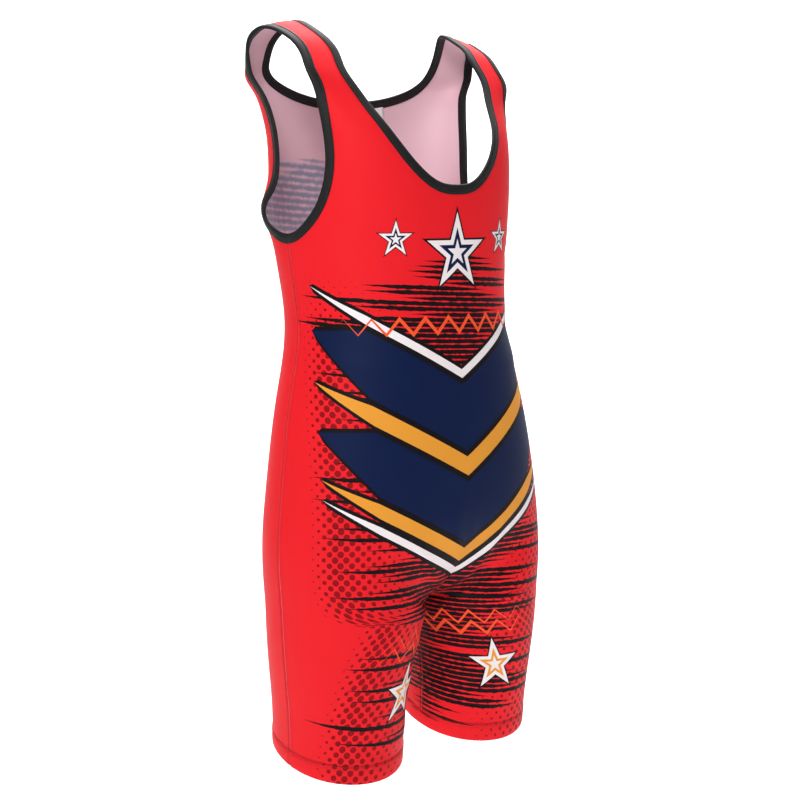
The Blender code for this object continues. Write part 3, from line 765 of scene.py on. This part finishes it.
# distance down from the stitched line, height off the cloth
HEM_PROFILE = [
    (.0001, -.0003), (.0009, .0001), (.0025, .0004), (.0060, .0006), (.0110, .0007),
    (.0150, .0005), (.0172, .0001), (.0182, -.0006), (.0184, -.0012), (.0180, -.0018),
    (.0168, -.0024), (.0120, -.0026), (.0060, -.0025), (.0010, -.0024), (-.0032, -.0023),
    (-.0034, -.0018), (-.0030, -.0014), (.0010, -.0014), (.0060, -.0013), (.0120, -.0013),
    (.0165, -.0013), (.0168, -.0010), (.0165, -.0007), (.0110, -.0005), (.0060, -.0005),
    (.0010, -.0009)]
FACE_POINTS = 9         # the first points of the profile are the printed face


def hem(name, mirror, materials):
    """Turned-up leg opening as one sheet folded double."""
    columns = 72
    w = np.concatenate([np.linspace(0, 1, columns), np.linspace(1, 0, columns)[1:-1]])
    side = np.concatenate([np.full(columns, -1), np.full(columns - 2, 1)])
    sign = -1 if mirror else 1
    rings, coords = [], []
    for distance, height in HEM_PROFILE[::-1]:
        v = 0 * w + HEM + HEM_DEPTH - distance
        rings.append(cloth(w * sign, v, side, height))
        coords.append(np.stack([round_from_centre(w * sign, v, side), v], -1))
    rings, coords = np.stack(rings, 1), np.stack(coords, 1)
    count, width = rings.shape[:2]
    slots = [2 if k < width - FACE_POINTS or k == width - 1 else int(i >= columns - 1)
             for i in range(count) for k in range(width)]
    return finished(name, rings.reshape(-1, 3), strip_faces(count, width, mirror), slots, materials,
                    coords.reshape(-1, 2))


inside_hem = pale_inside("inside_of_hem_knit", -0.300, 0.150)
for name, cad, mirror in (("leg_hem_turned_left", "leg_hem_left", False),
                          ("leg_hem_turned_right", "leg_hem_right", True)):
    piece = hem(name, mirror, [front_knit, back_knit, inside_hem])
    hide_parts(cad)
    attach(piece, "root")

# Sewing: polyester thread 0.35 mm thick. The seams are flatlocked, with a row of stitches on each
# side of the join; the hems have two rows and the bindings one on each face. The thread is red on
# the red knit and black on the black elastic.
THREAD = 0.00034        # radius; drawn about twice as thick as the real thread so that it shows
STITCH = 0.0030         # one stitch and its gap
STITCH_SHARE = 0.74     # how much of that the stitch takes
PLY = 0.0007
SIDES = 6               # of a thread's outline
ROW_OFFSET = 0.0021     # a seam's rows from its join
ROW_LIFT = 0.0001
SIDE_ROW_TOP = -0.2515  # below the armhole's binding
ROW_CLEAR = 0.017       # rows of side seam and inseam run this far below the hem's stitched line
BIND_ROW = 0.0084       # a binding's row from its fold
BIND_LIFTS = (0.0011, -INNER_GAP - 0.0009)
HEM_LINE = HEM + HEM_DEPTH


def thread(name, colour, roughness):
    """Twisted filament thread: its plies show as a slanting bump along each stitch."""
    made, tree, shader = new_material(name, Base_Color=linear(colour), Roughness=roughness)
    place = node(tree, "TexCoord", out=3)
    plies = stripes(tree, place, PLY, 0.0, "DIAGONAL")
    tree.links.new(node(tree, "Bump", 0.25, 0.0002, plies), shader.inputs["Normal"])
    return made


red_thread = thread("red_polyester_thread", "A60E18", 0.45)
black_thread = thread("black_polyester_thread", "131214", 0.50)


def on_row(values, run, where):
    """A row's places or directions at distances along it."""
    return np.stack([np.interp(where, run, values[:, k]) for k in range(3)], -1)


def stitches(name, rows, material):
    """Short bowed stitches along rows of (points, outward normals), sinking in at both ends."""
    bows = np.array([-0.5, -0.36, 0.0, 0.36, 0.5])
    rise = np.array([-0.9, 0.45, 0.85, 0.45, -0.9]) * THREAD
    fat = np.array([0.45, 1.0, 1.0, 1.0, 0.45]) * THREAD
    turn = np.arange(SIDES) * 2 * math.pi / SIDES
    last = (len(bows) - 1) * SIDES
    verts, faces, base = [], [], 0
    for points, normals in rows:
        run = np.r_[0, np.cumsum(np.linalg.norm(np.diff(points, axis=0), axis=1))]
        count = max(1, int(run[-1] / STITCH))
        for middle in (np.arange(count) + 0.5) * run[-1] / count:
            where = middle + bows * STITCH * STITCH_SHARE
            line = on_row(points, run, where)
            up = on_row(normals, run, where)
            up /= np.linalg.norm(up, axis=1, keepdims=True)
            ahead = np.gradient(line, axis=0)
            ahead /= np.linalg.norm(ahead, axis=1, keepdims=True)
            beside = np.cross(ahead, up)
            spokes = (beside[:, None] * np.cos(turn)[None, :, None]
                      + up[:, None] * np.sin(turn)[None, :, None])
            ring = (line + up * rise[:, None])[:, None] + fat[:, None, None] * spokes
            verts.append(ring.reshape(-1, 3))
            for start in range(base, base + last, SIDES):
                for j in range(SIDES):
                    a, b = start + j, start + (j + 1) % SIDES
                    faces.append([a, a + SIDES, b + SIDES, b])
            faces.append([base + j for j in range(SIDES)])
            faces.append([base + last + j for j in range(SIDES)][::-1])
            base += last + SIDES
    made = finished(name, np.concatenate(verts), faces, None, [material])
    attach(made, "root")
    return made


def seam_row(w, v, side, height):
    """A row on the cloth, with its normals, for the stitches to follow."""
    w, v = np.broadcast_arrays(np.asarray(w, float), np.asarray(v, float))
    normals = cloth_normals(np.abs(w), v, side)
    normals[:, 0] *= np.where(np.signbit(w), -1, 1)
    return cloth(w, v, side, height), normals


def binding_rows(w, v, side):
    """A row on each face of a binding; those on the inner face stand inwards."""
    rows = []
    for height in BIND_LIFTS:
        points, normals = seam_row(w, v, side, height)
        rows.append((points, normals * np.sign(height)))
    return rows


for name, sign in (("left", 1), ("right", -1)):
    side_v = run_down(SIDE_ROW_TOP, HEM_LINE - ROW_CLEAR, 0.004)
    leg_v = run_down(CROTCH - 0.004, HEM_LINE - ROW_CLEAR, 0.004)
    beside = 1 - ROW_OFFSET / QUARTER
    rows = [seam_row(sign * beside + 0 * side_v, side_v, s, ROW_LIFT) for s in (-1, 1)]
    rows += [seam_row(sign * ROW_OFFSET / QUARTER + 0 * leg_v, leg_v, s, ROW_LIFT) for s in (-1, 1)]
    stitches("side_and_inseam_stitches_" + name, rows, red_thread)
    top = np.linspace(row_at(neck, BIND_WIDTH)[neck_ridge, 0],
                      row_at(arm, BIND_WIDTH)[arm_ridge, 0], 20)
    rows = [seam_row(sign * top, 0 * top + TOP - 0.0022, s, ROW_LIFT) for s in (-1, 1)]
    stitches("shoulder_seam_stitches_" + name, rows, red_thread)
    rows = []
    # two rows on the face, just above and below the stitched line, and one inside
    for up, height in ((0.0012, 0.0002), (-0.0030, 0.0003), (-0.0009, -0.0027)):
        for s in (-1, 1):
            w = np.linspace(0.004, 0.996, 120)
            rows.append(seam_row(sign * w, 0 * w + HEM_LINE + up, s, height))
    stitches("hem_coverstitch_" + name, rows, red_thread)
    q = row_at(arm, BIND_ROW)
    q, s = np.concatenate([q, q[:1]]), np.concatenate([arm_side, arm_side[:1]])
    rows = binding_rows(sign * q[:, 0], q[:, 1], s)
    stitches("armhole_binding_stitches_" + name, rows, black_thread)
q = row_at(neck, BIND_ROW)
w, v = np.concatenate([q[:, 0], -q[::-1, 0]]), np.concatenate([q[:, 1], q[::-1, 1]])
rows = binding_rows(w, v, np.concatenate([neck_side, neck_side[::-1]]))
stitches("neck_binding_stitches", rows, black_thread)

# Label: a small blank tab of white woven satin inside the back neck. Its upper edge is caught under
# the binding, by the binding's own stitches, and its lower edge stands a little off the knit.
LABEL_FROM, LABEL_TO, LABEL_DROP = 0.024, 0.064, 0.0150     # x of its ends, height that shows
LABEL_UP = 0.0015       # height caught under the binding
LABEL_OFF = 0.0006      # clear of the knit, and its own thickness
LABEL_CURL = 0.0009
SATIN = 0.0008          # its threads, drawn coarser than real so that they show
label_cloth, tree, shader = new_material(
    "white_woven_satin_tab", Base_Color=linear("F1EFEC"), Roughness=0.5, Sheen_Weight=0.3)
place = node(tree, "TexCoord", out=3)
warp, weft = [stripes(tree, place, SATIN, 0.0, way) for way in ("X", "Z")]
weave = calc(tree, "MULTIPLY", warp, weft)
tree.links.new(node(tree, "Bump", 0.2, 0.0002, weave), shader.inputs["Normal"])
q = row_at(neck_back, 0.0)
label_x = skin(q[:, 0], q[:, 1], 1)[:, 0]
keep = np.flatnonzero((label_x > LABEL_FROM) & (label_x < LABEL_TO))
drop = np.linspace(-LABEL_UP, LABEL_DROP, 10)
rows = []
# down the face that lies on the knit and up the face that shows
for lift, way in ((0.0, 1), (LABEL_OFF, -1)):
    for d in drop[::way]:
        q = row_at(neck_back, BIND_WIDTH + 0.0002 + d)[keep]
        curl = LABEL_CURL * max(d / LABEL_DROP, 0) ** 2
        rows.append(cloth(q[:, 0], q[:, 1], 1, -SHEET - LABEL_OFF - curl - lift))
rows = np.stack(rows)
height, count = rows.shape[:2]
faces = []
for k in range(height):
    m = (k + 1) % height
    faces += [[k * count + i, k * count + i + 1, m * count + i + 1, m * count + i]
              for i in range(count - 1)]
for i, flip in ((0, False), (count - 1, True)):
    for k in range(height // 2 - 1):
        cap = [k * count + i, (k + 1) * count + i, (height - 2 - k) * count + i,
               (height - 1 - k) * count + i]
        faces.append(cap[::-1] if flip else cap)
label = finished("blank_neck_tab", rows.reshape(-1, 3), faces, None, [label_cloth])
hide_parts("label")
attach(label, "root")

# The studio: a white sweep of paper, well below the garment, which the wearer's shoulders would
# hold up. It is turned to face the camera, so that it fills the picture behind.
PHOTO_ANGLE = math.radians(41.6)    # the photo is taken from the wearer's right of straight ahead
paper, tree, shader = new_material("white_paper_sweep", Base_Color=linear("F6F5F5"), Roughness=0.9)
FLOOR, BEHIND, SIDEWAYS, BEND = -1.05, 2.6, 5.0, 1.0
profile = [(-6.0, FLOOR)] + [
    (BEHIND - BEND + BEND * math.sin(a), FLOOR + BEND - BEND * math.cos(a))
    for a in np.linspace(0, math.pi / 2, 16)] + [(BEHIND, 4.0)]
cosine, sine = math.cos(PHOTO_ANGLE), math.sin(PHOTO_ANGLE)
verts = [(x * cosine + y * sine, -x * sine + y * cosine, z)
         for x in (-SIDEWAYS, SIDEWAYS) for y, z in profile]
count = len(profile)
faces = [[i, i + count, i + 1 + count, i + 1] for i in range(count - 1)]
sweep = finished("paper_sweep", verts, faces, None, [paper])


def lamp(name, place, target, size, power):
    """Softbox that faces the target."""
    data = bpy.data.lights.new(name, "AREA")
    data.shape, data.size, data.energy = "SQUARE", size, power
    made = bpy.data.objects.new(name, data)
    made.location = place
    made.rotation_euler = (Vector(target) - Vector(place)).to_track_quat("-Z", "Y").to_euler()
    bpy.context.scene.collection.objects.link(made)


# key from the wearer's right, a weak one overhead, and one that lights the sweep behind
lamp("key_softbox", (-1.80, -1.50, 1.15), (0, -0.03, -0.35), 1.0, 55)
lamp("top_softbox", (-0.5, 0.2, 1.9), (0, -0.03, -0.30), 1.2, 14)
lamp("backdrop_softbox", (0.9, 1.0, 1.9), (1.9, 2.1, -0.6), 2.0, 190)
world = bpy.data.worlds.new("studio")
bpy.context.scene.world = world
world.use_nodes = True
world.node_tree.nodes["Background"].inputs["Color"].default_value = (1, 1, 1, 1)
world.node_tree.nodes["Background"].inputs["Strength"].default_value = 0.15

# Plain sRGB display, so that the cloth's inks come out as saturated as in the photograph
bpy.context.scene.view_settings.view_transform = "Standard"

# The camera: right of the wearer's front and a little above the waist, as in the photograph.
ELEVATION, DISTANCE = math.radians(7.85), 1.735
TARGET = Vector((0.0007, -0.0477, -0.4417))
camera = bpy.data.objects.new("camera", bpy.data.cameras.new("camera"))
camera.data.lens, camera.data.sensor_width = 64.7, 36
camera.location = TARGET + DISTANCE * Vector((
    -math.sin(PHOTO_ANGLE) * math.cos(ELEVATION), -math.cos(PHOTO_ANGLE) * math.cos(ELEVATION),
    math.sin(ELEVATION)))
camera.rotation_euler = (TARGET - camera.location).to_track_quat("-Z", "Y").to_euler()
bpy.context.scene.collection.objects.link(camera)
bpy.context.scene.camera = camera
